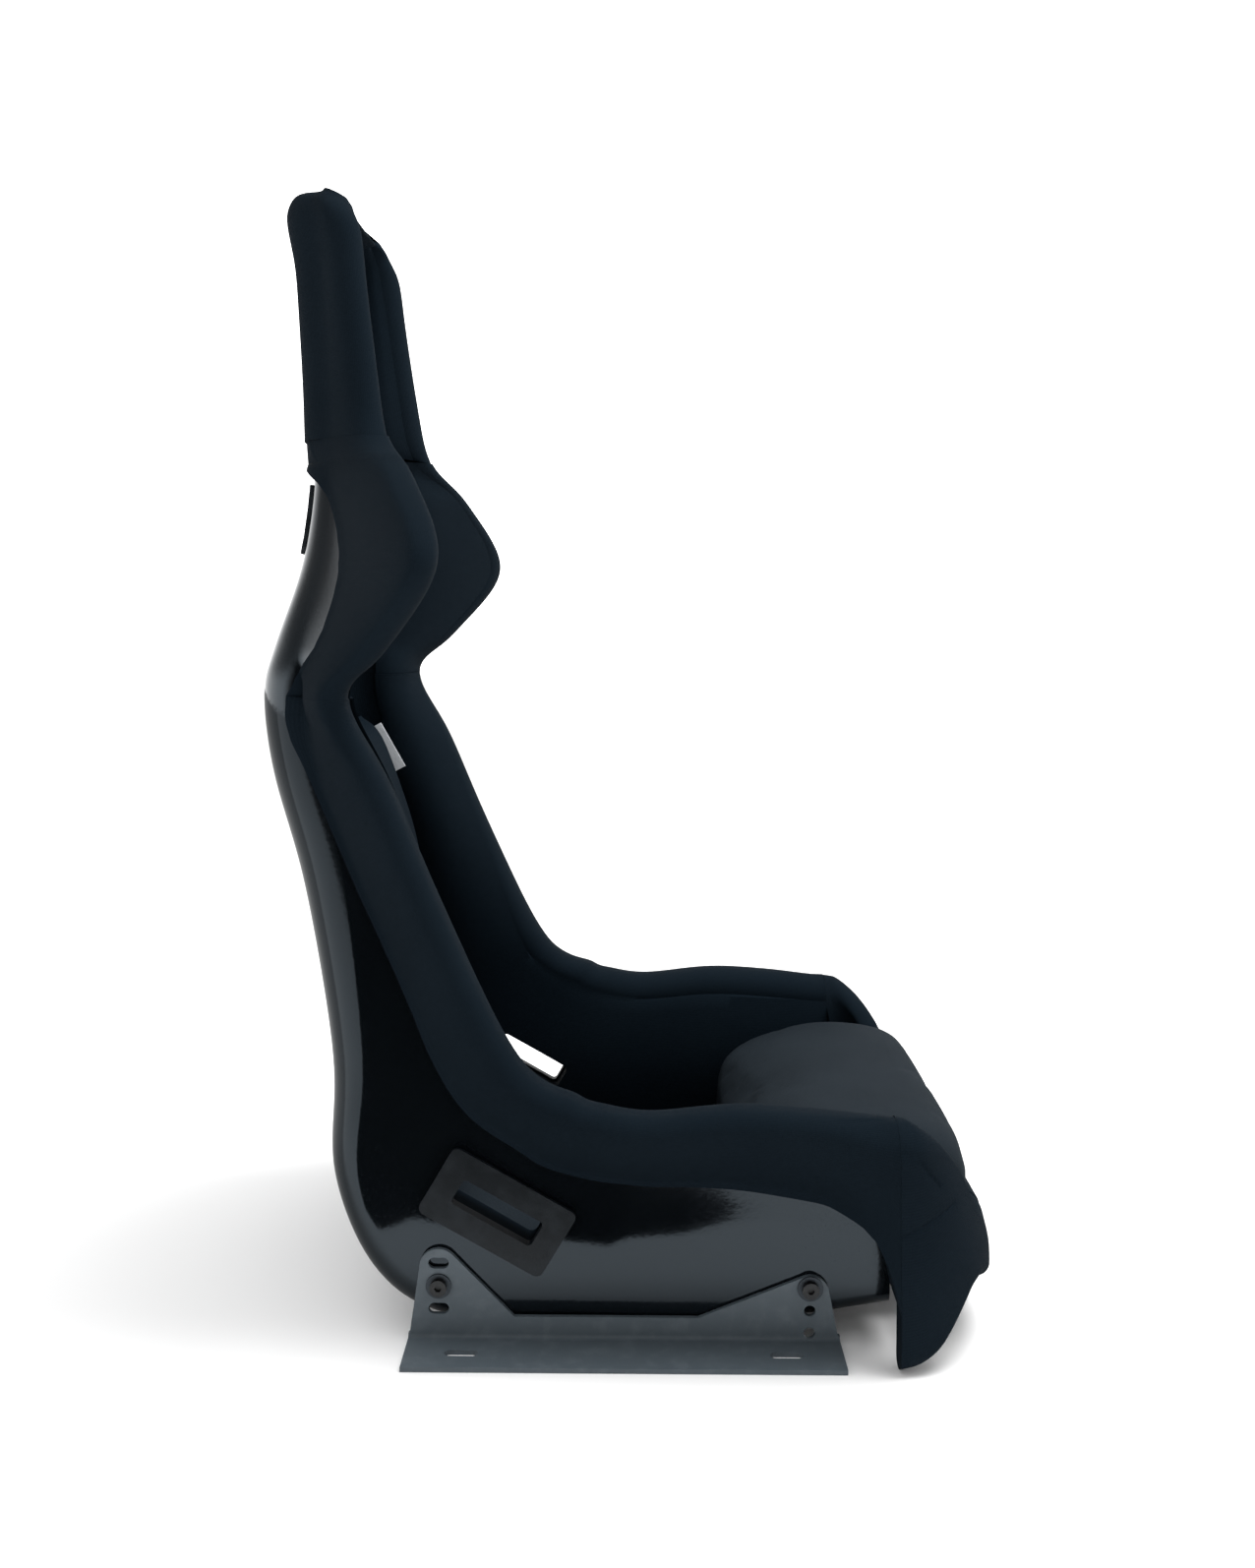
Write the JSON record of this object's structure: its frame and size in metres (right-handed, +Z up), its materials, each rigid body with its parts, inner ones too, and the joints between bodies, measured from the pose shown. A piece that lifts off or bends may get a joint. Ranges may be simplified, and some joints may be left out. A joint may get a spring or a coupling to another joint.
{
  "type": "racing seat",
  "caption": "Fixed-back bucket seat: moulded gloss shell, knit-covered head, shoulder wings and side bolsters, front lobes, loose lumbar and thigh cushions, bent side-mount brackets.",
  "frame": {"origin": "midway between the four floor slots, on the underside of the bracket feet", "axes": "+X forward, the way the sitter faces; +Y to the sitter's left; +Z up"},
  "size_m": [0.5959, 0.5728, 0.9004],
  "materials": {
    "gelcoat": "glossy gelcoat over moulded laminate",
    "bezel_plastic": "satin moulded plastic",
    "bracket_paint": "satin black paint on bent steel",
    "zinc_steel": "zinc plated",
    "black_steel": "black oxide",
    "charcoal_cloth": "charcoal knit cloth over foam",
    "hook_strip": "woven hook-and-loop tape",
    "tag_cloth": "plain woven tape",
    "black_knit": "near-black knit cloth over foam"
  },
  "bodies": {
    "seat": {"shell": "gelcoat", "mount_inserts": "zinc_steel", "bracket_left": "bracket_paint", "bracket_right": "bracket_paint", "mount_washers": "zinc_steel", "mount_bolts": "black_steel", "shoulder_bezel_left": "bezel_plastic", "shoulder_bezel_right": "bezel_plastic", "lap_bezel_left": "bezel_plastic", "lap_bezel_right": "bezel_plastic", "crotch_bezel": "bezel_plastic", "head_cover": "black_knit", "head_cushion": "charcoal_cloth", "wing_pad_left": "black_knit", "wing_pad_right": "black_knit", "side_bolster_left": "black_knit", "side_bolster_right": "black_knit", "lobe_left": "black_knit", "lobe_right": "black_knit", "nose_cover": "black_knit", "back_pad": "black_knit", "pan_pad": "charcoal_cloth"},
    "lumbar": {"lumbar_cushion": "black_knit", "lumbar_strips": "hook_strip", "blank_tag": "tag_cloth"},
    "thigh": {"thigh_cushion": "charcoal_cloth", "thigh_strips": "hook_strip"}
  },
  "joints": [
    {"name": "lumbar_pull", "type": "slide", "parent": "seat", "child": "lumbar", "axis": [1, 0, 0], "range_m": [0, 0.62]},
    {"name": "thigh_lift", "type": "slide", "parent": "seat", "child": "thigh", "axis": [0, 0, 1], "range_m": [0, 0.16]}
  ]
}
